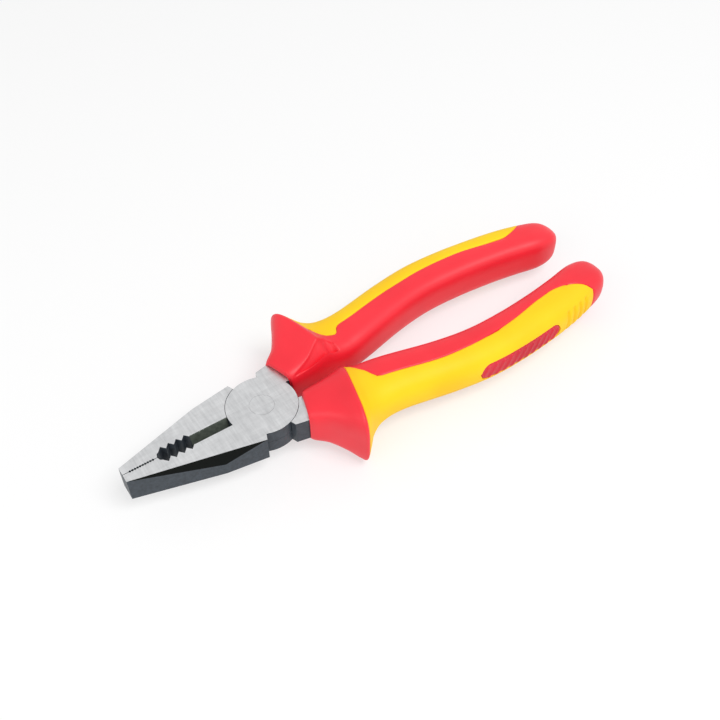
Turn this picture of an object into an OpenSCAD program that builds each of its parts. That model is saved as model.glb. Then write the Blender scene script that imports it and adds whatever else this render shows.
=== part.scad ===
// Insulated combination pliers: two forged halves lapped on one rivet, each
// half with a moulded two-colour grip. +X points to the jaw tips, +Z is up, and
// the origin is on the pivot axis at the underside of the steel head.
// Every shape is drawn once, for the front half, about the middle of the
// head's thickness. The rear half is the same shape turned over about X.

/* [Overall] */
// Length over everything, jaw tips to grip ends
tool_l = 180; // [165:1:216]
// Pivot to the jaw tips
jaw_reach = 47.7; // [42:0.1:58]
// Thickness of the steel head
head_t = 9.2; // [7.6:0.1:11.2]

/* [Joint] */
// Radius of the round lap joint
joint_r = 11.6; // [9.6:0.1:12]
// Radius of the joint rivet
rivet_r = 4; // [3:0.1:5]
// Clearance between the rivet and the half that turns on it
rivet_gap = 0.05; // [0.02:0.01:0.1]
// Clearance between the two lapped faces
lap_gap = 0.1; // [0.06:0.01:0.2]
// Clearance between a joint disc and the pocket it turns in
pocket_gap = 0.15; // [0.1:0.01:0.3]
// Angle of the jaw heel, from the jaw line
heel_angle = 67.5; // [62:0.5:70]
// How far the jaw heel stands out past the joint disc
heel_step = 2.3; // [1.5:0.1:3]
// Angle of the tang shoulder, from the jaw line
shoulder_angle = 111; // [108:0.5:116]
// How far the tang shoulder stands out past the joint disc
shoulder_step = 2; // [1:0.1:3]

/* [Jaws] */
// Width over both jaws at the tips
tip_w = 5.8; // [4.8:0.1:7]
// Pivot to the bend in a jaw's outer side
bend_x = 19.2; // [17:0.1:26]
// How far the bend bulges past a straight line from tip to heel
bend_bulge = 1.2; // [0.6:0.1:1.6]
// Gap between the closed jaws
jaw_gap = 0.2; // [0.1:0.05:0.3]
// Plain length of the jaws ahead of the fine teeth
nose_l = 2; // [1:0.1:3]
// Number of fine teeth
fine_n = 10; // [6:1:12]
// Spacing of the fine teeth
fine_pitch = 0.84; // [0.7:0.01:1]
// Depth of the fine teeth
fine_depth = 0.35; // [0.2:0.05:0.5]
// Number of pipe grip teeth
pipe_n = 4; // [3:1:5]
// Spacing of the pipe grip teeth
pipe_pitch = 2.65; // [2:0.05:2.9]
// Half the clear width between the pipe grip teeth
pipe_clear = 1.65; // [1.2:0.05:1.8]
// Depth of the pipe grip teeth
pipe_depth = 1.5; // [1:0.1:2]
// Pivot to the front end of the cutter
cutter_x = 24.6; // [22:0.1:27]
// Width of the cutter's bevels across both jaws
cutter_w = 3.8; // [3:0.1:4.6]

/* [Tangs] */
// Width of a tang inside its grip
tang_w = 7; // [5.5:0.1:8.5]
// Thickness of a tang inside its grip
tang_t = 6.6; // [5:0.1:7.4]
// Width of the neck where it enters the grip
neck_w = 9.6; // [8:0.1:11.5]
// Length of the full-thickness neck inside the grip
neck_l = 5; // [4:0.5:7]
// Grip left solid behind the end of a tang
tail_solid = 16; // [12:0.5:22]

/* [Grips] */
// Thickness of a grip
grip_t = 15.4; // [14:0.1:18.5]
// Gap between the two grips at the crotch
grip_gap = 5.2; // [4.4:0.1:6.2]
// Pivot to the inner corner of the collar
collar_x = 12.6; // [12.4:0.1:15.2]
// How far the collar's outer corner leads its inner one
collar_rake = 3.4; // [2.5:0.1:4]
// Width of the collar across the neck
collar_w = 12.4; // [12:0.1:14.8]
// Pivot to the crest of the guard
guard_x = 20.8; // [20:0.1:25]
// Centre line to the crest of the guard
guard_y = 29.8; // [28:0.1:34]
// How far the guard stands above and below the grip
guard_rise = 4.4; // [3:0.1:5.4]
// Width of the waist behind the guard
waist_w = 18.2; // [16:0.1:21]
// Width of the belly of the grip
belly_w = 17; // [14.2:0.1:20]
// How far the belly bows out past the waist
belly_bow = 6.6; // [5:0.1:8]
// Width of the tail before it rounds off
tail_w = 16; // [13.4:0.1:19]

/* [Overlay] */
// Thickness of the soft yellow overlay
overlay_t = 1.6; // [1.2:0.1:2]
// Length of red tail left bare behind the overlay
tail_bare = 11; // [10:0.5:16]

/* [Badge] */
// Length of the inlay in the side of the overlay
badge_l = 35.5; // [28:0.5:40]
// Grip end to the rear end of the inlay
badge_back = 29.5; // [26:0.5:34]
// Depth of the inlay
badge_t = 0.9; // [0.7:0.05:1.1]

/* [Hidden] */
$fn = 96;

half_t = head_t / 2;
lap_z = lap_gap / 2;
slit_y = jaw_gap / 2;
tail_x = tool_l - jaw_reach;
heel_r = joint_r + heel_step;
heel = heel_r * [cos(heel_angle), sin(heel_angle)];
tip = [jaw_reach, tip_w / 2];
bend = [bend_x, side_y(bend_x) + bend_bulge];
past = 1;

// Straight line from the jaw tip to the heel, read at x
function side_y(x) = tip[1] + (tip[0] - x) * (heel[1] - tip[1]) / (tip[0] - heel[0]);

// ---- Grip shape ----
// One row per station from the collar to the tail: inner rail x and y, outer
// rail x and y, half thickness, and the squareness power of the outer side.
// x is counted backwards from the pivot, y outwards from the centre line.
in_y = grip_gap / 2;
grip_h = grip_t / 2;
collar_y = in_y + collar_w;
crest_h = grip_h + guard_rise;
waist_x = guard_x + 19.2;
waist_y = in_y + 1.2;
belly_x = tail_x - 51;
belly_y = in_y + belly_bow + 1;
stations = [
    [collar_x, in_y + 0.8, collar_x - collar_rake, collar_y - 0.8, grip_h - 1.2, 0.5],
    [collar_x + 1, in_y, collar_x - collar_rake + 1.2, collar_y + 0.4, grip_h - 0.4, 0.5],
    [collar_x + 6, in_y, guard_x - 7, guard_y - 11.4, grip_h + 0.6, 0.5],
    [guard_x + 1.6, in_y, guard_x - 3.6, guard_y - 6, crest_h - 2.4, 0.5],
    [guard_x + 5, in_y, guard_x - 1.4, guard_y - 1.8, crest_h - 0.6, 0.52],
    [guard_x + 7, in_y, guard_x, guard_y, crest_h, 0.56],
    [guard_x + 9.2, in_y, guard_x + 2.6, guard_y - 2.2, crest_h - 1.7, 0.62],
    [guard_x + 12, in_y, guard_x + 6, guard_y - 5.4, grip_h + 0.9, 0.7],
    [guard_x + 16.6, in_y + 0.2, guard_x + 11.2, guard_y - 7.6, grip_h, 0.78],
    [waist_x + 4, waist_y + 0.4, waist_x + 1, waist_y + waist_w, grip_h, 0.8],
    [waist_x + 20, belly_y - 2, waist_x + 19, belly_y + belly_w - 1.8, grip_h, 0.8],
    [belly_x - 8, belly_y, belly_x - 8, belly_y + belly_w, grip_h, 0.8],
    [belly_x + 6, belly_y, belly_x + 6, belly_y + belly_w - 0.2, grip_h, 0.8],
    [belly_x + 20, belly_y - 1.2, belly_x + 20, belly_y + belly_w - 1.6, grip_h, 0.8],
    [tail_x - 20, belly_y - 2.8, tail_x - 20, belly_y + tail_w - 2.3, grip_h, 0.8],
    [tail_x - 11, belly_y - 4.4, tail_x - 11, belly_y + tail_w - 4.6, grip_h - 0.1, 0.8],
    [tail_x - 5, belly_y - 3.9, tail_x - 5, belly_y + tail_w - 6.6, grip_h - 1.1, 0.8],
    [tail_x - 1.6, belly_y - 1.6, tail_x - 1.6, belly_y + tail_w - 9.4, grip_h - 3.3, 0.8],
    [tail_x, belly_y + 1.4, tail_x, belly_y + tail_w - 12.4, grip_h - 6, 0.8]
];
last = len(stations) - 1;

// Catmull-Rom blend of four rows at t
function blend(p, q, r, s, t) =
    q + (r - p) * t / 2 + (p * 2 - q * 5 + r * 4 - s) * t * t / 2
      + (q * 3 - p - r * 3 + s) * t * t * t / 2;

// A table's row at any place u along it
function row_at(table, u) =
    let (n = len(table) - 1, i = max(0, min(floor(u), n - 1)))
    blend(table[max(i - 1, 0)], table[i], table[i + 1], table[min(i + 2, n)], u - i);

// Place along the stations where the outer rail is x behind the pivot
function u_at(x, i = 0) =
    x < stations[i + 1][2] || i == last - 1
    ? i + (x - stations[i][2]) / (stations[i + 1][2] - stations[i][2])
    : u_at(x, i + 1);

// Evenly spaced values from a to b, both included
function spread(a, b, steps) = [for (i = [0 : steps]) a + (b - a) * i / steps];

// Signed power, which squares up a circle into a rounded box
function squared(v, power) = sign(v) * pow(abs(v), power);

// Point on the grip at station u and angle a, sunk by depth.
// Angle 0 is the outer side, 90 the top, 180 the inner side.
inner_power = 0.6;
function grip_point(u, a, depth) =
    let (r = row_at(stations, u),
         inner = [-r[0], -r[1]],
         outer = [-r[2], -r[3]],
         reach = norm(outer - inner) / 2,
         power = cos(a) > 0 ? r[5] : min(r[5], inner_power),
         side = (outer - inner) / (2 * reach) * (reach - depth) * squared(cos(a), power))
    [(inner[0] + outer[0]) / 2 + side[0],
     (inner[1] + outer[1]) / 2 + side[1],
     (r[4] - depth) * squared(sin(a), power)];

// Rows of the grip's surface. Each edge of the overlay and of the badge is a
// pair of rows a small step apart, so that its wall is steep.
crest_u = 5;
edge_step = 0.1;
overlay_end_u = u_at(tail_x - tail_bare);
badge_end_u = u_at(tail_x - badge_back);
badge_start_u = u_at(tail_x - badge_back - badge_l);
over_first = 10;
badge_first = 22;
badge_last = 30;
over_last = 35;
row_last = 42;
rows = concat(
    spread(0, crest_u, over_first),
    spread(crest_u + edge_step, badge_start_u, badge_first - over_first - 1),
    spread(badge_start_u + edge_step, badge_end_u - edge_step, badge_last - badge_first - 2),
    spread(badge_end_u, overlay_end_u - edge_step, over_last - badge_last - 1),
    spread(overlay_end_u, last, row_last - over_last)
);

// Edge of the overlay as an angle, from the crest of the guard to the tail
edge_angles = [[152], [148], [124], [96], [86], [85], [84], [85], [86], [86], [88], [82], [62]];
function edge_angle(u) =
    let (share = (u - crest_u) / (overlay_end_u - crest_u))
    row_at(edge_angles, (len(edge_angles) - 1) * max(0, min(1, share)))[0];

// Angles of the columns round the grip at u, from the overlay's lower edge,
// over the outer side to its upper edge, then on round the inner side
cols = 30;
over_col = 18;
badge_col = 6;
edge_slope = 2.5;
badge_angle = 24;
function column_angles(u) =
    let (edge = edge_angle(u), inner_cols = cols - over_col)
    concat(
        [-edge],
        spread(edge_slope - edge, -badge_angle, badge_col - 1),
        spread(edge_slope - badge_angle, badge_angle - edge_slope, over_col - 2 * badge_col - 2),
        spread(badge_angle, edge - edge_slope, badge_col - 1),
        spread(edge, edge + (360 - 2 * edge) * (inner_cols - 1) / inner_cols, inner_cols - 1)
    );

// A patch of the surface: its first and last row, then its first and last column
over_patch = [over_first, over_last, 0, over_col];
badge_patch = [badge_first, badge_last, badge_col, over_col - badge_col];
function inside(patch, i, j) = i > patch[0] && i < patch[1] && j > patch[2] && j < patch[3];

// Two triangles between the points a, b of row i and c, d of the next row. At two
// corners of a patch the split turns, so that no triangle lies in the border.
function turned(patch, i, j) =
    (i == patch[0] && j == patch[3] - 1) || (i == patch[1] - 1 && j == patch[2]);
function square_faces(i, j, a, b, c, d) =
    turned(over_patch, i, j) || turned(badge_patch, i, j)
    ? [[a, c, b], [b, c, d]]
    : [[a, d, b], [a, c, d]];

// Closed grip body, recessed where the overlay lies
module grip_loft() {
    points = [
        for (i = [0 : len(rows) - 1])
        let (angles = column_angles(rows[i]))
        for (j = [0 : cols - 1])
        grip_point(rows[i], angles[j], inside(over_patch, i, j) ? overlay_t : 0)
    ];
    tube = [
        for (i = [0 : len(rows) - 2], j = [0 : cols - 1])
        let (a = i * cols + j, b = i * cols + (j + 1) % cols)
        each square_faces(i, j, a, b, a + cols, b + cols)
    ];
    front_cap = [for (j = [0 : cols - 1]) j];
    tail_cap = [for (j = [cols - 1 : -1 : 0]) (len(rows) - 1) * cols + j];
    polyhedron(points, concat(tube, [front_cap, tail_cap]));
}

// Closed patch of the grip's surface: its lower side is sunk by depth, and its
// upper side by inlay_depth inside the inlay's own patch
module surface_patch(patch, depth, inlay, inlay_depth) {
    width = patch[3] - patch[2] + 1;
    height = patch[1] - patch[0] + 1;
    upper = [
        for (i = [patch[0] : patch[1]])
        let (angles = column_angles(rows[i]))
        for (j = [patch[2] : patch[3]])
        grip_point(rows[i], angles[j], inside(inlay, i, j) ? inlay_depth : 0)
    ];
    lower = [
        for (i = [patch[0] + 1 : patch[1] - 1])
        let (angles = column_angles(rows[i]))
        for (j = [patch[2] + 1 : patch[3] - 1])
        grip_point(rows[i], angles[j], depth)
    ];
    upper_faces = [
        for (i = [0 : height - 2], j = [0 : width - 2])
        let (a = i * width + j)
        each square_faces(patch[0] + i, patch[2] + j, a, a + 1, a + width, a + width + 1)
    ];
    // The lower side shares the upper side's points along its border, and its
    // faces look the other way
    lower_index = [
        for (i = [0 : height - 1], j = [0 : width - 1])
        i == 0 || j == 0 || i == height - 1 || j == width - 1
        ? i * width + j
        : len(upper) + (i - 1) * (width - 2) + j - 1
    ];
    lower_faces = [for (face = upper_faces) [for (k = [2, 1, 0]) lower_index[face[k]]]];
    polyhedron(concat(upper, lower), concat(upper_faces, lower_faces));
}

// ---- Forged half ----
// The pipe grip starts where the cutter ends, and has a short lead-in at its front
pipe_front = cutter_x + pipe_n * pipe_pitch;
lead_mouth = [pipe_front + 1.1, slit_y];
lead_root = [pipe_front + 0.7, pipe_clear - 0.4];
fine_x = jaw_reach - nose_l;

// Outline of a jaw, toothed along the slit
module jaw_plan() {
    difference() {
        polygon([[0, slit_y], [tip[0], slit_y], tip, bend, heel]);
        for (i = [0 : fine_n - 1])
            translate([fine_x - (i + 0.5) * fine_pitch, slit_y])
                polygon([[-fine_pitch / 2, 0], [0, fine_depth], [fine_pitch / 2, 0], [0, -past]]);
        polygon(concat(
            [[lead_mouth[0], slit_y - past], lead_mouth, lead_root],
            [for (i = [0 : pipe_n - 1]) each [
                [pipe_front - i * pipe_pitch, pipe_clear],
                [pipe_front - (i + 0.5) * pipe_pitch, pipe_clear + pipe_depth]]],
            [[cutter_x, pipe_clear], [cutter_x, slit_y - past]]
        ));
    }
}

// Bevels of the cutter, above and below the edge at mid thickness
module cutter_bevels() {
    wide = slit_y + (cutter_w / 2 - slit_y) * (half_t + past) / half_t;
    translate([joint_r - past, 0, 0])
        rotate([90, 0, 90])
            linear_extrude(cutter_x - joint_r + past)
                polygon([[0, -half_t - past], [wide, -half_t - past], [slit_y, 0],
                         [wide, half_t + past], [0, half_t + past]]);
}

// Ground facet along the jaw's upper outer edge. It starts from the straight line
// from tip to heel and reaches mid thickness at the bend.
module jaw_facet() {
    run = [heel[0] - tip[0], heel[1] - tip[1]];
    out = bend_bulge * abs(run[0]) / norm(run);
    translate([tip[0], tip[1], half_t])
        rotate([0, 0, atan2(run[1], run[0])])
            rotate([atan2(half_t, out), 0, 0])
                translate([-joint_r, -joint_r * 2, 0])
                    cube([jaw_reach + 2 * joint_r, joint_r * 2, joint_r]);
}

// Middle of the tang, x behind the pivot and y out from the centre line
function tang_middle(u) =
    let (r = row_at(stations, u))
    [(r[0] + r[2]) / 2, (r[1] + r[3]) / 2];
tang_root = [collar_x, in_y + collar_w / 2];
tang_start_u = 9;
tang_end_u = u_at(tail_x - tail_solid);
tang_steps = 14;
tang_path = concat([tang_root],
                   [for (u = spread(tang_start_u, tang_end_u, tang_steps)) tang_middle(u)]);

// Outline of a bar of width w along the tang's middle
module tang_plan(w) {
    count = len(tang_path) - 1;
    sides = [
        for (i = [0 : count])
        let (run = tang_path[min(i + 1, count)] - tang_path[max(i - 1, 0)])
        [-run[1], run[0]] / norm(run) * w / 2
    ];
    polygon(concat([for (i = [0 : count]) -tang_path[i] - sides[i]],
                   [for (i = [count : -1 : 0]) -tang_path[i] + sides[i]]));
}

// Neck between the joint and the grip
module neck_plan() {
    shoulder = (joint_r + shoulder_step) * [cos(shoulder_angle), -sin(shoulder_angle)];
    neck_in = tang_root[1] - neck_w / 2;
    neck_out = tang_root[1] + neck_w / 2;
    polygon([
        [0, 0],
        shoulder,
        [-(collar_x - collar_rake), -neck_out],
        [-(collar_x + neck_l), -neck_out],
        [-(collar_x + neck_l), -neck_in],
        [-(collar_x - past), -neck_in]
    ]);
}

module thick(height) {
    translate([0, 0, -height / 2])
        linear_extrude(height)
            children();
}

module tang() {
    thick(head_t) neck_plan();
    thick(tang_t) tang_plan(tang_w);
}

module forging(bore_r) {
    difference() {
        union() {
            difference() {
                thick(head_t) jaw_plan();
                cutter_bevels();
                jaw_facet();
            }
            tang();
            translate([0, 0, lap_z])
                cylinder(r = joint_r, h = half_t - lap_z);
        }
        translate([0, 0, -half_t - past])
            cylinder(r = joint_r + pocket_gap, h = half_t + past + lap_z);
        thick(head_t + 2 * past)
            circle(r = bore_r);
    }
}

module grip_core() {
    difference() {
        grip_loft();
        tang();
    }
}

// ---- Placing ----
module as_front() {
    translate([0, 0, half_t])
        children();
}

module as_rear() {
    translate([0, 0, half_t])
        rotate([180, 0, 0])
            children();
}

steel = "silver";
red = "crimson";
yellow = "gold";
badge_red = "indianred";

module front_half() { color(steel) as_front() forging(rivet_r + rivet_gap); }
module rear_half() { color(steel) as_rear() forging(rivet_r); }
module joint_rivet() { color("gray") as_rear() thick(head_t) circle(r = rivet_r); }
module front_grip_core() { color(red) as_front() grip_core(); }
module rear_grip_core() { color(red) as_rear() grip_core(); }
module front_grip_overlay() {
    color(yellow) as_front()
        surface_patch(over_patch, overlay_t, badge_patch, badge_t);
}
module rear_grip_overlay() {
    color(yellow) as_rear()
        surface_patch(over_patch, overlay_t, badge_patch, badge_t);
}
module front_badge_inlay() {
    color(badge_red) as_front()
        surface_patch(badge_patch, badge_t, badge_patch, 0);
}
module rear_badge_inlay() {
    color(badge_red) as_rear()
        surface_patch(badge_patch, badge_t, badge_patch, 0);
}

front_half();
rear_half();
joint_rivet();
front_grip_core();
rear_grip_core();
front_grip_overlay();
rear_grip_overlay();
front_badge_inlay();
rear_badge_inlay();
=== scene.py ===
# Insulated combination pliers: ground steel head, red grips with a soft yellow overlay
import math
import bmesh
import bpy
import numpy as np
from mathutils import Matrix, Vector


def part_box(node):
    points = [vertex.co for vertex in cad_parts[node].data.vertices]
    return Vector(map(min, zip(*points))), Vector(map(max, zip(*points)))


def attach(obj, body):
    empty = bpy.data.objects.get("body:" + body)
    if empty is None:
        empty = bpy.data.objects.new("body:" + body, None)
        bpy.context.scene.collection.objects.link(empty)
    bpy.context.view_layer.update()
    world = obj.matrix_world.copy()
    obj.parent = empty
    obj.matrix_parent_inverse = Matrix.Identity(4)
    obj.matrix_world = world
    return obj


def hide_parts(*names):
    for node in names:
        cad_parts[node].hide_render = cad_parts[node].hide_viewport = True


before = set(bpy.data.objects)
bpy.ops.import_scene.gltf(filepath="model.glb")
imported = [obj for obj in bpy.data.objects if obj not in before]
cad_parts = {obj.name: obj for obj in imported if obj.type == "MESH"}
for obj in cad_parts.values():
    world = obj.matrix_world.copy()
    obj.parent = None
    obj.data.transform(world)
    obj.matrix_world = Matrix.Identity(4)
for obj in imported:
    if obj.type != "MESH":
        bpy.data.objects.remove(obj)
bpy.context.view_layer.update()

mm = 0.001
headLow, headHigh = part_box("rear_half")
midZ = (headLow.z + headHigh.z) / 2   # middle of the head's thickness, where the halves lap
tailX = -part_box("rear_grip_core")[0].x
print("frame loaded, head is", round(headHigh.z - headLow.z, 5), "m thick")


def newMaterial(name):
    mat = bpy.data.materials.new(name)
    mat.use_nodes = True
    return mat, mat.node_tree.nodes["Principled BSDF"]


def addNode(mat, kind, inputs=None, **values):
    node = mat.node_tree.nodes.new(kind)
    for key, value in values.items():
        setattr(node, key, value)
    for key, value in (inputs or {}).items():
        if hasattr(value, "links"):
            mat.node_tree.links.new(value, node.inputs[key])
        else:
            node.inputs[key].default_value = value
    return node


def plug(mat, output, target):
    mat.node_tree.links.new(output, target)


def objectSpace(mat, scale=(1, 1, 1), turn=0):
    # object coordinates, stretched by scale and turned about Z
    coords = addNode(mat, "ShaderNodeTexCoord")
    return addNode(mat, "ShaderNodeMapping",
                   {"Vector": coords.outputs["Object"], "Scale": scale,
                    "Rotation": (0, 0, math.radians(turn))}).outputs["Vector"]


def noise(mat, vector, scale, detail=3, rough=0.5):
    return addNode(mat, "ShaderNodeTexNoise",
                   {"Vector": vector, "Scale": scale, "Detail": detail, "Roughness": rough}).outputs["Fac"]


def ramp(mat, factor, stops):
    node = addNode(mat, "ShaderNodeValToRGB", {"Fac": factor})
    bar = node.color_ramp.elements
    while len(bar) < len(stops):
        bar.new(0.5)
    for element, (place, colour) in zip(bar, stops):
        element.position = place
        element.color = (*colour, 1) if len(colour) == 3 else colour
    return node.outputs["Color"]


def mixColour(mat, factor, low, high, blend="MIX"):
    node = addNode(mat, "ShaderNodeMix", data_type="RGBA", blend_type=blend)
    for socket, value in ((node.inputs["Factor"], factor), (node.inputs[6], low), (node.inputs[7], high)):
        if hasattr(value, "links"):
            plug(mat, value, socket)
        else:
            socket.default_value = value
    return node.outputs[2]


def spread(mat, factor, low, high):
    # a 0 to 1 value carried to the range low to high
    return addNode(mat, "ShaderNodeMapRange",
                   {"Value": factor, "To Min": low, "To Max": high}).outputs["Result"]


def bump(mat, height, strength, distance, normal=None):
    inputs = {"Height": height, "Strength": strength, "Distance": distance}
    if normal:
        inputs["Normal"] = normal
    return addNode(mat, "ShaderNodeBump", inputs).outputs["Normal"]


steel = {
    "ground": (0.64, 0.645, 0.65),     # brushed faces
    "oxide": (0.042, 0.052, 0.064),    # forged sides
    "facet": (0.002, 0.003, 0.0025),   # ground and blacked facet
    "bevel": (0.07, 0.082, 0.068),     # cutter bevels
    "grain": 1300,                     # brush lines per metre, before the stretch
}


def groundSteel():
    # bright ground face: short crossed brush lines over slow cloudy patches
    mat, bsdf = newMaterial("groundSteel")
    lines = noise(mat, objectSpace(mat, (1, 0.09, 1), 58), steel["grain"], 4, 0.65)
    cross = noise(mat, objectSpace(mat, (0.12, 1, 1), 40), steel["grain"] * 0.7, 3, 0.6)
    cloudy = noise(mat, objectSpace(mat), 170, 5, 0.62)
    brushed = mixColour(mat, lines, (0.74, 0.74, 0.745, 1), (1.2, 1.2, 1.2, 1))
    crossed = mixColour(mat, cross, (0.86, 0.86, 0.86, 1), (1.1, 1.1, 1.1, 1))
    patch = mixColour(mat, cloudy, (0.76, 0.765, 0.77, 1), (1.16, 1.16, 1.16, 1))
    worn = mixColour(mat, 1, mixColour(mat, 1, brushed, crossed, "MULTIPLY"), patch, "MULTIPLY")
    plug(mat, mixColour(mat, 1, (*steel["ground"], 1), worn, "MULTIPLY"), bsdf.inputs["Base Color"])
    bsdf.inputs["Metallic"].default_value = 0.95
    plug(mat, spread(mat, lines, 0.34, 0.5), bsdf.inputs["Roughness"])
    plug(mat, bump(mat, lines, 0.22, 0.00006), bsdf.inputs["Normal"])
    return mat


def darkSteel(name, colour, roughness, specular):
    # forged or blacked side: small speckle in colour and gloss
    mat, bsdf = newMaterial(name)
    mottle = noise(mat, objectSpace(mat), 900, 4, 0.6)
    speckle = ramp(mat, mottle, [(0.3, (0.72, 0.72, 0.72)), (0.7, (1.3, 1.3, 1.3))])
    plug(mat, mixColour(mat, 1, (*colour, 1), speckle, "MULTIPLY"), bsdf.inputs["Base Color"])
    plug(mat, spread(mat, mottle, roughness - 0.07, roughness + 0.07), bsdf.inputs["Roughness"])
    bsdf.inputs["Specular IOR Level"].default_value = specular
    plug(mat, bump(mat, mottle, 0.25, 0.00006), bsdf.inputs["Normal"])
    return mat


plastics = {
    "red": (0.92, 0.024, 0.042), "redDeep": (0.82, 0.014, 0.03),
    "yellow": (1.0, 0.66, 0.004), "yellowDeep": (0.97, 0.58, 0.002),
    "badge": (0.72, 0.022, 0.045), "badgeDeep": (0.56, 0.012, 0.03),
    "pebble": 5200,
}


def mouldedMaterial(name, colour, deep, roughLow, roughHigh, specular, pebble):
    # moulded skin: slow colour drift, fine pebble in the bump, rubbed patches in the gloss
    mat, bsdf = newMaterial(name)
    slow = noise(mat, objectSpace(mat), 45, 2)
    fine = noise(mat, objectSpace(mat), plastics["pebble"], 2)
    rubbed = noise(mat, objectSpace(mat, (0.35, 1, 1)), 240, 5, 0.65)
    plug(mat, mixColour(mat, ramp(mat, slow, [(0.35, (0, 0, 0)), (0.7, (1, 1, 1))]),
                        (*deep, 1), (*colour, 1)), bsdf.inputs["Base Color"])
    plug(mat, spread(mat, rubbed, roughLow, roughHigh), bsdf.inputs["Roughness"])
    bsdf.inputs["Specular IOR Level"].default_value = specular
    plug(mat, bump(mat, rubbed, 0.12, 0.00012, bump(mat, fine, pebble, 0.00004)), bsdf.inputs["Normal"])
    return mat


sideMat = darkSteel("oxideSteel", steel["oxide"], 0.42, 0.3)
facetMat = darkSteel("facetSteel", steel["facet"], 0.5, 0.1)
bevelMat = darkSteel("bevelSteel", steel["bevel"], 0.4, 0.35)
groundMat = groundSteel()
redMat = mouldedMaterial("redGrip", plastics["red"], plastics["redDeep"], 0.34, 0.5, 0.5, 0.25)
yellowMat = mouldedMaterial("yellowOverlay", plastics["yellow"], plastics["yellowDeep"], 0.5, 0.66, 0.35, 0.4)
badgeMat = mouldedMaterial("redBadge", plastics["badge"], plastics["badgeDeep"], 0.36, 0.5, 0.45, 0.2)
print("materials made")


forging = {"weld": 2e-6, "edge": 0.00012, "edgeSteps": 2, "edgeAngle": 28,
           "boreReach": 0.0045, "lapReach": 0.0003, "cutterReach": 0.0024}


def finishForging(nodeName, body):
    # a copy of the forging: doubles merged, flat areas joined, edges eased, finish marked face by face
    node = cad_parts[nodeName]
    mesh = node.data.copy()
    work = bmesh.new()
    work.from_mesh(mesh)
    bmesh.ops.remove_doubles(work, verts=work.verts, dist=forging["weld"])
    bmesh.ops.dissolve_limit(work, angle_limit=math.radians(0.6), verts=work.verts, edges=work.edges)
    weight = work.edges.layers.float.new("bevel_weight_edge")
    for edge in work.edges:
        middle = (edge.verts[0].co + edge.verts[1].co) / 2
        turned = len(edge.link_faces) == 2 and edge.calc_face_angle(0) > math.radians(forging["edgeAngle"])
        atBore = math.hypot(middle.x, middle.y) < forging["boreReach"]
        edge[weight] = 1.0 if turned and not atBore else 0.0
    work.to_mesh(mesh)
    work.free()
    mesh.materials.clear()
    for mat in (sideMat, facetMat, bevelMat, groundMat):
        mesh.materials.append(mat)
    count = len(mesh.polygons)
    normals = np.zeros(count * 3)
    centres = np.zeros(count * 3)
    mesh.polygons.foreach_get("normal", normals)
    mesh.polygons.foreach_get("center", centres)
    normals, centres = normals.reshape(-1, 3), centres.reshape(-1, 3)
    flat = np.abs(normals[:, 2])
    slanted = (flat > 0.2) & (flat < 0.99)
    # by face: 0 side, 1 facet, 2 cutter bevel, 3 ground
    finish = np.where((flat > 0.99) & (np.abs(centres[:, 2] - midZ) > forging["lapReach"]), 3, 0)
    finish[slanted] = 1
    finish[slanted & (np.abs(centres[:, 1]) < forging["cutterReach"]) & (centres[:, 0] > 0)] = 2
    mesh.polygons.foreach_set("material_index", finish.astype(np.int32))
    piece = bpy.data.objects.new(nodeName + "_steel", mesh)
    bpy.context.scene.collection.objects.link(piece)
    ease = piece.modifiers.new("easedEdges", "BEVEL")
    ease.width = forging["edge"]
    ease.segments = forging["edgeSteps"]
    ease.limit_method = "WEIGHT"
    ease.harden_normals = True
    mesh.polygons.foreach_set("use_smooth", np.ones(count, bool))
    mesh.set_sharp_from_angle(angle=math.radians(forging["edgeAngle"]))
    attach(piece, body)
    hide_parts(nodeName)
    return piece


finishForging("front_half", "front_side")
finishForging("rear_half", "rear_side")

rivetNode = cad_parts["joint_rivet"]
rivetNode.data.materials.clear()
rivetNode.data.materials.append(groundMat)
print("steel head finished")


grip = {
    "thick": 15.4, "gap": 5.2,                          # one grip, and the gap at the crotch
    "collarX": 12.6, "collarRake": 3.4, "collarW": 12.4,
    "guardX": 20.8, "guardY": 29.8, "guardRise": 4.3,   # crest of the guard
    "waistW": 18.2, "bellyW": 17.0, "bellyBow": 6.6, "tailW": 16.0,
    "innerPower": 0.6, "outerPower": 0.8,               # squareness of the inner side, and of the outer
    "neckHalf": (5.0, 4.85),                            # mouth round the steel neck
    "neckPower": 0.25,                                  # squareness of the mouth
    "bareCols": 104, "coveredCols": 60,                 # columns off the overlay, and under it
    "mouthDeep": 2.6, "mouthLip": 0.6,
    "frontFace": [(0.985, 0.25), (0.8, 0), (0.5, -0.12), (0.25, -0.15), (0.1, -0.08), (0.03, 0)],
}
gripTail = tailX / mm


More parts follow.
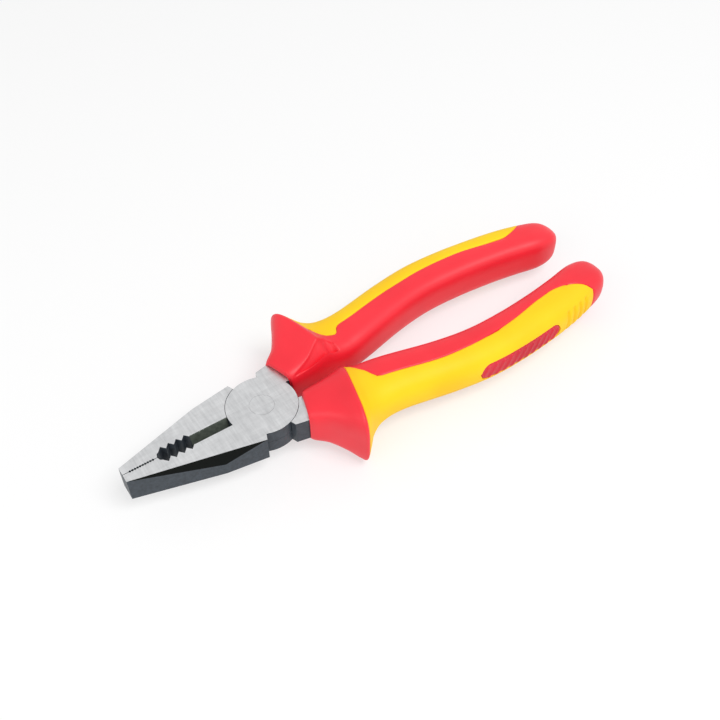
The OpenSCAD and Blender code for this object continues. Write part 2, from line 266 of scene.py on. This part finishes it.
def gripStations():
    # inner rail x and y, outer rail x and y, half thickness, squareness; x runs back from the pivot
    inY = grip["gap"] / 2
    h = grip["thick"] / 2
    collarX, frontX = grip["collarX"], grip["collarX"] - grip["collarRake"]
    collarY = inY + grip["collarW"]
    gx, gy, crest = grip["guardX"], grip["guardY"], h + grip["guardRise"]
    waistX, waistY = gx + 19.2, inY + 1.2
    bellyX, bellyY = gripTail - 51, inY + grip["bellyBow"] + 1
    bw, tw = grip["bellyW"], grip["tailW"]
    return np.array([
        [collarX, inY + 0.8, frontX, collarY - 0.8, h - 1.2, 0.5],
        [collarX + 1, inY, frontX + 1.2, collarY + 0.4, h - 0.4, 0.5],
        [collarX + 6, inY, gx - 7, gy - 11.4, h + 0.6, 0.5],
        [gx + 1.6, inY, gx - 3.6, gy - 6, crest - 2.4, 0.5],
        [gx + 5, inY, gx - 1.4, gy - 1.8, crest - 0.6, 0.52],
        [gx + 7, inY, gx, gy, crest, 0.56],
        [gx + 9.2, inY, gx + 2.6, gy - 2.2, crest - 1.7, 0.62],
        [gx + 12, inY, gx + 6, gy - 5.4, h + 0.9, 0.7],
        [gx + 16.6, inY + 0.2, gx + 11.2, gy - 7.6, h, 0.78],
        [waistX + 4, waistY + 0.4, waistX + 1, waistY + grip["waistW"], h, 0.8],
        [waistX + 20, bellyY - 2, waistX + 19, bellyY + bw - 1.8, h, 0.8],
        [bellyX - 8, bellyY, bellyX - 8, bellyY + bw, h, 0.8],
        [bellyX + 6, bellyY, bellyX + 6, bellyY + bw - 0.2, h, 0.8],
        [bellyX + 20, bellyY - 1.2, bellyX + 20, bellyY + bw - 1.6, h, 0.8],
        [gripTail - 20, bellyY - 2.8, gripTail - 20, bellyY + tw - 2.3, h, 0.8],
        [gripTail - 11, bellyY - 4.4, gripTail - 11, bellyY + tw - 4.6, h - 0.1, 0.8],
        [gripTail - 5, bellyY - 3.9, gripTail - 5, bellyY + tw - 6.6, h - 1.1, 0.8],
        [gripTail - 1.6, bellyY - 1.6, gripTail - 1.6, bellyY + tw - 9.4, h - 3.3, 0.8],
        [gripTail, bellyY + 1.4, gripTail, bellyY + tw - 12.4, h - 6, 0.8],
    ])


stations = gripStations()
lastStation = len(stations) - 1


def rowAt(table, u):
    # Catmull-Rom blend of the four rows of the table round each place u
    n = len(table) - 1
    i = np.clip(np.floor(u).astype(int), 0, n - 1)
    t = (u - i)[..., None]
    p, q = table[np.maximum(i - 1, 0)], table[i]
    r, s = table[i + 1], table[np.minimum(i + 2, n)]
    return (q + (r - p) * t / 2 + (p * 2 - q * 5 + r * 4 - s) * t ** 2 / 2
            + (q * 3 - p - r * 3 + s) * t ** 3 / 2)


fineU = np.linspace(0, lastStation, 4000)
fineX = rowAt(stations, fineU)[:, 2]


def uAt(x):
    # place along the stations where the outer rail is x behind the pivot
    return np.interp(x, fineX, fineU)


def squared(v, power):
    return np.sign(v) * np.abs(v) ** power


def smooth(x, low, high):
    t = np.clip((x - low) / (high - low), 0, 1)
    return t * t * (3 - 2 * t)


scoop = {
    # how far back, the rib's edge out from the middle, and the hollow's outer edge
    "outline": [(12.6, 2.9, 3.1), (13.5, 2.95, 3.5), (20.8, 3.2, 6.0), (25, 3.5, 8.3), (27, 3.6, 9.3),
                (29, 3.8, 9.3), (31, 3.9, 7.6), (32.4, 4.0, 4.2)],
    "deep": 3.6, "fullWidth": 4.6, "wall": 0.6, "edgeFade": 0.8,
    "startFade": 2, "endFade": 2.2,
}
grooves = {"first": 107.5, "pitch": 3.2, "count": 4, "deep": 0.85, "wide": 0.62,
           "fade": (26, 38)}                # degrees either side of the middle


def gripPoint(u, angle, sink):
    # a squared-up ellipse between the two rails at u: middle + half width * cos + half thickness * sin
    row = rowAt(stations, u)
    inner = -row[..., 0:2]
    outer = -row[..., 2:4]
    half = (outer - inner) / 2
    reach = np.linalg.norm(half, axis=-1)
    c, s = np.cos(np.radians(angle)), np.sin(np.radians(angle))
    power = np.where(c > 0, row[..., 5], np.minimum(row[..., 5], grip["innerPower"]))
    side = half / reach[..., None] * ((reach - sink) * squared(c, power))[..., None]
    flat = (inner + outer) / 2 + side
    up = (row[..., 4] - sink) * squared(s, power)
    # hollow beside the rib: deepest at the rib's foot, rising to its outer edge
    back, ribSide, outSide = np.array(scoop["outline"]).T
    fromRib = -flat[..., 1] - np.interp(-flat[..., 0], back, ribSide)
    toEdge = np.interp(-flat[..., 0], back, outSide) + flat[..., 1]
    wide = np.maximum(fromRib + toEdge, 0.01)
    share = np.clip(toEdge / wide, 0, 1)
    drop = scoop["deep"] * np.clip(wide / scoop["fullWidth"], 0, 1) * share ** 0.8
    drop = drop * smooth(fromRib, 0, scoop["wall"]) * smooth(toEdge, 0, scoop["edgeFade"])
    starts = smooth(-flat[..., 0], back[0], back[0] + scoop["startFade"])
    ends = smooth(-flat[..., 0], back[-1] - scoop["endFade"], back[-1])
    drop = drop * starts * (1 - ends)
    up = up - np.where(up > 0, drop * smooth(up, 1.5, 4.5), 0)
    return np.concatenate([flat, up[..., None]], axis=-1)


def tailGrooves(u, angle):
    # shallow cross grooves on the outer side: a row of bells along x, fading up and down
    x = rowAt(stations, u)[..., 2]
    depth = np.zeros_like(x)
    for k in range(grooves["count"]):
        fromGroove = x - grooves["first"] - k * grooves["pitch"]
        depth = np.maximum(depth, np.exp(-(fromGroove / grooves["wide"]) ** 2))
    turn = np.abs((angle + 180) % 360 - 180)
    return grooves["deep"] * depth * (1 - smooth(turn, *grooves["fade"]))


overlay = {
    "thick": 1.6, "seam": 0.35, "roll": 3.0, "rollDeep": 0.28,
    "start": 5.3, "scoopStart": 6.1,       # where it starts on the plain face and on the scoop's face
    "startTurn": (70, 100),                # degrees round the grip between those two starts
    "flankCols": 34, "badgeCols": 16,      # columns on each flank, and inside the badge
    "tailBare": 10.7,
    # its edge on each face: place along the grip, and share across it, -1 inner side, 1 outer side
    "scoopEdge": [(5.2, -0.02), (6.2, -0.02), (6.8, -0.18), (7.2, -0.25), (7.85, -0.26), (8.1, -0.12),
                  (8.25, 0.05), (8.55, 0.13), (9.4, 0.14), (10.5, 0.06), (11.4, 0.08), (12.4, 0.1),
                  (13.3, -0.03), (13.8, -0.03), (14.25, 0.2), (14.6, 0.46), (14.85, 0.7), (15, 0.88)],
    "plainEdge": [(5.2, -0.93), (5.7, -0.9), (6.2, -0.84), (6.9, -0.68), (7.6, -0.42), (7.95, -0.14),
                  (8.3, 0.06), (8.8, 0.12), (9.5, 0.18), (9.9, 0.18), (10.9, 0.03), (12, -0.11),
                  (12.8, -0.28), (13.5, -0.29), (14, -0.12), (14.35, 0.16), (14.7, 0.5), (15, 0.88)],
}
overlayEnd = uAt(gripTail - overlay["tailBare"])


def edgeAngle(table, u):
    # the table's share across the grip, eased over a short stretch, as an angle round the ellipse
    place, across = np.array(table).T
    share = sum(np.interp(u + step, place, across) for step in np.linspace(-0.16, 0.16, 9)) / 9
    row = rowAt(stations, u)
    power = np.where(share > 0, row[..., 5], np.minimum(row[..., 5], grip["innerPower"]))
    return np.degrees(np.arccos(np.clip(squared(share, 1 / power), -1, 1)))


badge = {"long": 35.3, "tall": 3.7, "back": 29.4, "deep": 0.9, "set": 0.22,
         "ribPitch": 3.2, "ribWide": 0.8, "ribHigh": 0.42, "lean": 0.55, "border": 0.7,
         "soft": 0.35, "edgeDeep": 0.3}
badgeMid = gripTail - badge["back"] - badge["long"] / 2


def badgeHalf(x):
    # half height of the capsule at x, as an angle: a round end of the capsule's own radius
    past = np.clip(np.abs(x - badgeMid) - (badge["long"] / 2 - badge["tall"]), 0, badge["tall"] * 0.985)
    tall = np.sqrt(badge["tall"] ** 2 - past ** 2)
    beyond = smooth(np.abs(x - badgeMid), badge["long"] / 2, badge["long"] / 2 + 5)
    tall = tall + beyond * (badge["tall"] - tall)
    return np.degrees(np.arcsin((tall / (grip["thick"] / 2)) ** (1 / grip["outerPower"])))


def placed(points, side):
    # drawn for the front half about mid thickness; the rear half is the same turned over about X
    if side == "rear":
        points = points * np.array([1, -1, -1])
    return points * mm + np.array([0, 0, midZ])


def gridFaces(rows, cols, around):
    # quads between neighbouring points of the grid, wrapped round when the grid is a tube
    i, j = np.meshgrid(np.arange(rows - 1), np.arange(cols if around else cols - 1), indexing="ij")
    i, j = i.ravel(), j.ravel()
    k = (j + 1) % cols
    return np.stack([i * cols + j, (i + 1) * cols + j, (i + 1) * cols + k, i * cols + k], axis=1)


def makePiece(name, points, faces, mat, side, nodeName, sharp=40):
    mesh = bpy.data.meshes.new(name)
    mesh.from_pydata(placed(points, side), [], faces)
    mesh.validate()
    mesh.materials.append(mat)
    mesh.polygons.foreach_set("use_smooth", np.ones(len(mesh.polygons), bool))
    mesh.set_sharp_from_angle(angle=math.radians(sharp))
    piece = bpy.data.objects.new(name, mesh)
    bpy.context.scene.collection.objects.link(piece)
    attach(piece, side + "_side")
    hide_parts(nodeName)
    return piece


def evenly(a, b, count):
    return np.linspace(a, b, count, endpoint=False)


def bodyMesh():
    # closed tube from the collar to the tail, sunk under the overlay, with a mouth round the neck
    roll = overlay["roll"]
    rows = np.concatenate([evenly(0, 2, 34), evenly(2, overlay["start"] - 0.02, 56),
                           evenly(overlay["start"], 9, 84), evenly(9, overlayEnd, 96),
                           evenly(overlayEnd + 0.02, 17.2, 26), np.linspace(17.2, lastStation, 22)])
    u = rows[:, None]
    top, low = edgeAngle(overlay["scoopEdge"], u), edgeAngle(overlay["plainEdge"], u)
    inner = 360 - low - top - 2 * roll
    bareCols, coveredCols = grip["bareCols"], grip["coveredCols"]
    steps = np.linspace(0, 1, bareCols)
    angle = np.concatenate([top, top + roll * np.array([0.25, 0.6]), top + roll + inner * steps,
                            360 - low - roll * np.array([0.6, 0.25]), 360 - low,
                            (360 - low) + (low + top) * np.linspace(0.004, 0.996, coveredCols)], axis=1)
    rolled = overlay["rollDeep"] * np.concatenate([[1, 0.55, 0.15], np.zeros(bareCols),
                                                   [0.15, 0.55, 1], np.zeros(coveredCols)])
    under = np.concatenate([np.zeros(bareCols + 6), np.ones(coveredCols)])
    start = startRow(angle)
    covered = (u > start) & (u < overlayEnd)
    near = smooth(u, start - 0.12, start) * (1 - smooth(u, overlayEnd, overlayEnd + 0.12))
    sink = np.where(covered, under * overlay["thick"], under * overlay["rollDeep"] * near) + rolled * near
    return rows, angle, sink


def startRow(angle):
    # the overlay starts just behind the crest, and further back on the scoop's face
    turn = (angle + 180) % 360 - 180
    back = smooth(turn, *overlay["startTurn"])
    return overlay["start"] + (overlay["scoopStart"] - overlay["start"]) * back


def makeGripBody(side):
    rows, angle, sink = bodyMesh()
    tube = gripPoint(np.broadcast_to(rows[:, None], angle.shape), angle, sink)
    ring = tube[0]
    first = rowAt(stations, np.array([0.0]))[0]
    inner, outer = -first[0:2], -first[2:4]
    along = (outer - inner) / np.linalg.norm(outer - inner)
    neckY = grip["gap"] / 2 + grip["collarW"] / 2
    centre = np.array([-(grip["collarX"] - grip["collarRake"] / 2), -neckY, 0])
    c, s = np.cos(np.radians(angle[0])), np.sin(np.radians(angle[0]))
    wide = grip["neckHalf"][0] * squared(c, grip["neckPower"])
    high = grip["neckHalf"][1] * squared(s, grip["neckPower"])
    mouth = centre + np.concatenate([along * wide[:, None], high[:, None]], axis=1)
    # from the mouth's floor outwards: floor, mouth wall, front face, rounded lip,
    # each a share of the way from the rim to the mouth, and how far it lies behind the rim
    floor = mouth - np.array([grip["mouthDeep"], 0, 0])
    face = [ring + (mouth - ring) * t - np.array([d, 0, 0])
            for t, d in grip["frontFace"]]
    lip = mouth - np.array([grip["mouthLip"], 0, 0])
    tube = np.concatenate([floor[None], lip[None], np.array(face), tube])
    count, cols = tube.shape[:2]
    points = tube.reshape(-1, 3)
    faces = gridFaces(count, cols, True).tolist()
    faces.append(list(range(cols)))
    faces.append(list(range(count * cols - 1, (count - 1) * cols - 1, -1)))
    return makePiece(side + "_grip_body", points, faces, redMat, side, side + "_grip_core")


def shell(upper, lower):
    # closed patch: upper grid, lower grid turned the other way, and a wall round the border
    rows, cols = upper.shape[:2]
    count = rows * cols
    top = gridFaces(rows, cols, False)
    low = top[:, ::-1] + count
    border = np.concatenate([np.arange(cols - 1), np.arange(rows - 1) * cols + cols - 1,
                             count - 1 - np.arange(cols - 1), (rows - 1 - np.arange(rows - 1)) * cols])
    after = np.roll(border, -1)
    wall = np.stack([border, after, after + count, border + count], axis=1)
    points = np.concatenate([upper.reshape(-1, 3), lower.reshape(-1, 3)])
    return points, np.concatenate([top, low, wall]).tolist()


def badgeRows():
    x0, x1 = badgeMid - badge["long"] / 2, badgeMid + badge["long"] / 2
    turn = np.linspace(0, math.pi, 40)
    ends = badge["tall"] * (1 - np.cos(turn[:20]))
    middle = np.linspace(x0 + badge["tall"], x1 - badge["tall"], 110)
    return uAt(np.concatenate([x0 + ends, middle, (x1 - ends)[::-1]]))


def overlayAngles(u):
    # angles of the overlay's columns: lower lip, flank, inside of the badge, flank, upper lip
    seam, roll = overlay["seam"], overlay["roll"]
    top = edgeAngle(overlay["scoopEdge"], u) - seam
    low = seam - edgeAngle(overlay["plainEdge"], u)
    half = badgeHalf(rowAt(stations, u)[..., 2])
    lips = roll * np.array([0, 0.25, 0.6, 1])
    lowFlank = low + roll + (-half - low - roll) * np.linspace(0.04, 1, overlay["flankCols"])
    inBadge = -half + 2 * half * np.linspace(0.01, 0.99, overlay["badgeCols"])
    topFlank = half + (top - roll - half) * np.linspace(0, 0.96, overlay["flankCols"])
    return np.concatenate([low + lips, lowFlank, inBadge, topFlank, top - lips[::-1]], axis=-1)


def makeOverlay(side):
    # patch from the crest to the tail; its middle columns sink inside the badge's outline
    inside = badgeRows()
    rows = np.concatenate([np.linspace(0, 1, 90) * (inside[0] - 0.02 - overlay["start"]) + overlay["start"],
                           inside[1:-1], np.linspace(inside[-1] + 0.02, overlayEnd, 70)])
    u = rows[:, None]
    angle = overlayAngles(u)
    cols = angle.shape[1]
    lipSink = np.zeros(cols)
    lipSink[:4] = lipSink[:-5:-1] = overlay["rollDeep"] * np.array([1, 0.55, 0.15, 0])
    middle = np.zeros(cols)
    firstIn = 4 + overlay["flankCols"]    # after the four lip columns and a flank
    middle[firstIn:firstIn + overlay["badgeCols"]] = 1
    within = (u >= inside[1]) & (u <= inside[-2])
    # the front edge lies further back on the scoop's face, so each column has its own first row;
    # the angles and the places depend on each other, and settle in a few rounds
    for settle in range(4):
        begin = startRow(angle)
        lean = begin + (u - overlay["start"]) / (inside[0] - overlay["start"]) * (inside[0] - begin)
        place = np.where(u < inside[0], lean, np.broadcast_to(u, angle.shape))
        everyAngle = overlayAngles(place[..., None])
        angle = np.take_along_axis(everyAngle, np.arange(cols)[None, :, None], axis=2)[..., 0]
    endRoll = np.exp(-(place - begin) / 0.05) + np.exp(-(overlayEnd - place) / 0.04)
    sink = np.maximum(lipSink, overlay["rollDeep"] * np.clip(endRoll, 0, 1))
    sink = sink + np.where(within, middle * badge["deep"], 0) + tailGrooves(place, angle)
    lowerSink = np.full(angle.shape, overlay["thick"] - 0.02)
    upper = gripPoint(place, angle, sink)
    lower = gripPoint(place, angle, lowerSink)
    points, faces = shell(upper, lower)
    return makePiece(side + "_overlay", points, faces, yellowMat, side,
                     side + "_grip_overlay")


def makeBadge(side):
    # capsule panel set into the overlay, with plain leaning ribs
    rows = badgeRows()[1:-1]
    u = rows[:, None]
    x = rowAt(stations, u)[..., 2]
    half = badgeHalf(x) * 0.985
    share = np.linspace(-1, 1, 33)
    angle = half * share
    point = gripPoint(np.broadcast_to(u, angle.shape), angle, 0 * angle)
    z = point[..., 2]
    along = x - badgeMid
    rim = np.minimum(badge["tall"] - np.abs(z), badge["long"] / 2 - np.abs(along))
    core = badge["long"] / 2 - badge["tall"]
    rim = np.minimum(rim, badge["tall"] - np.hypot(np.clip(np.abs(along) - core, 0, None), z))
    phase = (along + badge["lean"] * z) / badge["ribPitch"]
    off = np.abs(phase - np.round(phase)) * badge["ribPitch"]
    onRib = 1 - smooth(off, badge["ribWide"] * 0.45, badge["ribWide"])
    rib = onRib * smooth(rim, badge["border"], badge["border"] + badge["soft"])
    edge = badge["edgeDeep"] * (1 - smooth(rim, 0, badge["soft"]))
    sink = badge["set"] + edge - badge["ribHigh"] * rib
    upper = gripPoint(np.broadcast_to(u, angle.shape), angle, sink)
    lower = gripPoint(np.broadcast_to(u, angle.shape), angle, np.full(angle.shape, badge["deep"] - 0.02))
    points, faces = shell(upper, lower)
    return makePiece(side + "_badge", points, faces, badgeMat, side, side + "_badge_inlay")


for side in ("front", "rear"):
    makeGripBody(side)
    makeOverlay(side)
    makeBadge(side)
print("grips made")


stageSet = {"size": 6.0, "shade": (0.93, 0.93, 0.93), "room": 0.58, "white": 0.55}
lampTarget = (-0.04, 0, 0)
lamps = {
    "keyLamp": {"place": (-0.2, 0.45, 0.9), "power": 5.5, "size": 0.5},
    "fillLamp": {"place": (0.7, 0.2, 0.5), "power": 1.5, "size": 0.6},
}


def makeFloor():
    low = min(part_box(name)[0].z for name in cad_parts)
    half = stageSet["size"] / 2
    mesh = bpy.data.meshes.new("floor")
    mesh.from_pydata([(-half, -half, low), (half, -half, low), (half, half, low), (-half, half, low)],
                     [], [(0, 1, 2, 3)])
    floor = bpy.data.objects.new("floor", mesh)
    bpy.context.scene.collection.objects.link(floor)
    mat, bsdf = newMaterial("paleFloor")
    bsdf.inputs["Base Color"].default_value = (*stageSet["shade"], 1)
    bsdf.inputs["Roughness"].default_value = 0.9
    bsdf.inputs["Specular IOR Level"].default_value = 0.1
    # the camera and reflections see the floor part lit and part plain white, so its shadow stays light
    white = addNode(mat, "ShaderNodeEmission", {"Color": (1, 1, 1, 1), "Strength": 1})
    path = addNode(mat, "ShaderNodeLightPath")
    seen = addNode(mat, "ShaderNodeMath",
                   {0: path.outputs["Is Camera Ray"], 1: path.outputs["Is Glossy Ray"]}, operation="MAXIMUM")
    share = addNode(mat, "ShaderNodeMath",
                    {0: seen.outputs["Value"], 1: stageSet["white"]}, operation="MULTIPLY")
    both = addNode(mat, "ShaderNodeMixShader", {"Fac": share.outputs["Value"]})
    plug(mat, bsdf.outputs["BSDF"], both.inputs[1])
    plug(mat, white.outputs["Emission"], both.inputs[2])
    plug(mat, both.outputs["Shader"], mat.node_tree.nodes["Material Output"].inputs["Surface"])
    mesh.materials.append(mat)


def makeWorld():
    # a dim white room for the object's light, which the camera and reflections see as white
    world = bpy.data.worlds.new("studio")
    bpy.context.scene.world = world
    world.use_nodes = True
    background = world.node_tree.nodes["Background"]
    background.inputs["Color"].default_value = (1, 1, 1, 1)
    path = world.node_tree.nodes.new("ShaderNodeLightPath")
    seen = world.node_tree.nodes.new("ShaderNodeMath")
    seen.operation = "MAXIMUM"
    strength = world.node_tree.nodes.new("ShaderNodeMapRange")
    strength.inputs["To Min"].default_value = stageSet["room"]
    strength.inputs["To Max"].default_value = 1
    world.node_tree.links.new(path.outputs["Is Camera Ray"], seen.inputs[0])
    world.node_tree.links.new(path.outputs["Is Glossy Ray"], seen.inputs[1])
    world.node_tree.links.new(seen.outputs["Value"], strength.inputs["Value"])
    world.node_tree.links.new(strength.outputs["Result"], background.inputs["Strength"])


def makeLamp(name, place, target, power, size):
    data = bpy.data.lights.new(name, "AREA")
    data.energy = power
    data.size = size
    lamp = bpy.data.objects.new(name, data)
    bpy.context.scene.collection.objects.link(lamp)
    place, target = np.array(place, float), np.array(target, float)
    lamp.location = place
    lamp.rotation_euler = Vector(target - place).to_track_quat("-Z", "Y").to_euler()


makeFloor()
makeWorld()
for name, lamp in lamps.items():
    makeLamp(name, lamp["place"], lampTarget, lamp["power"], lamp["size"])

view = {
    "azimuth": 147.1, "elevation": 48.855, "roll": -0.94,
    "lens": 47.104, "far": 0.30085,            # millimetres on a 36 mm sensor, metres to the pivot
    "pivot": (-0.10287, -0.05699),             # the pivot's offset right and up, as a share of the distance
}


def makeCamera():
    # right, up and forward axes from azimuth, elevation and roll; the pivot lies at its offset in front
    az, el, roll = (math.radians(view[k]) for k in ("azimuth", "elevation", "roll"))
    right = np.array([math.cos(az), math.sin(az), 0])
    level = np.array([-math.sin(az), math.cos(az), 0])
    forward = level * math.cos(el) - np.array([0, 0, math.sin(el)])
    up = np.cross(right, forward)
    turnedRight = math.cos(roll) * right + math.sin(roll) * up
    turnedUp = -math.sin(roll) * right + math.cos(roll) * up
    pivot = np.array([0, 0, midZ])
    offset = view["pivot"][0] * turnedRight + view["pivot"][1] * turnedUp + forward
    place = pivot - offset * view["far"]
    data = bpy.data.cameras.new("camera")
    data.lens = view["lens"]
    data.sensor_width = 36
    data.clip_start = 0.01
    camera = bpy.data.objects.new("camera", data)
    bpy.context.scene.collection.objects.link(camera)
    axes = np.stack([turnedRight, turnedUp, -forward], axis=1)
    pose = np.eye(4)
    pose[:3, :3] = axes
    pose[:3, 3] = place
    camera.matrix_world = Matrix(pose.tolist())
    bpy.context.scene.camera = camera


makeCamera()
bpy.context.scene.view_settings.view_transform = "Standard"
print("stage, lamps and camera set")
